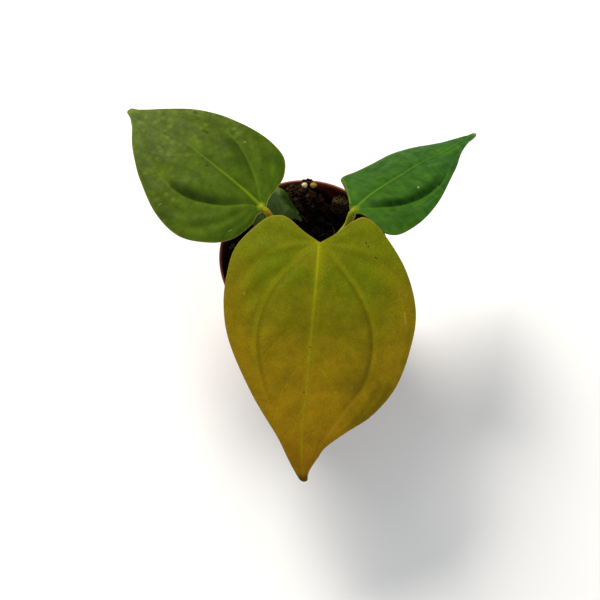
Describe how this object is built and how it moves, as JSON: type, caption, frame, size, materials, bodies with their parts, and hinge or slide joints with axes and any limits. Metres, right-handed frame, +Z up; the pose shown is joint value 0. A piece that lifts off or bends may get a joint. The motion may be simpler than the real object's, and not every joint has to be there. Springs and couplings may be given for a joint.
{
  "type": "potted anthurium portillae",
  "caption": "Young velvet-leaved aroid with heart-shaped leaves on short petioles, in a small round terracotta-coloured nursery pot filled with bark substrate.",
  "frame": {"origin": "middle of the pot's flat underside, on the surface that the pot stands on", "axes": "+Z up; -Y towards the tip of the large front leaf; +X towards the right leaf seen from the front"},
  "size_m": [0.146, 0.1466, 0.09],
  "materials": {
    "pot_plastic": "thin moulded polypropylene, satin",
    "bark_substrate": "damp bark chips, fibre and humus",
    "cream_stone": "dull grain",
    "yellow_stone": "dull grain",
    "stem_tissue": "living stem, dull",
    "petiole_front": "smooth living petiole",
    "petiole_left": "smooth living petiole",
    "petiole_right": "smooth living petiole",
    "petiole_small": "smooth living petiole",
    "blade_front": "velvety living leaf, olive bronze",
    "blade_left": "velvety living leaf, mottled green",
    "blade_right": "velvety living leaf, dark cool green",
    "blade_small": "velvety living leaf, grey green"
  },
  "bodies": {
    "root": {"pot": "pot_plastic", "substrate": "bark_substrate", "cream_stone": "cream_stone", "yellow_stone": "yellow_stone", "stem": "stem_tissue", "petiole_front": "petiole_front", "petiole_left": "petiole_left", "petiole_right": "petiole_right", "petiole_small": "petiole_small", "blade_front": "blade_front", "blade_left": "blade_left", "blade_right": "blade_right", "blade_small": "blade_small"}
  },
  "joints": []
}
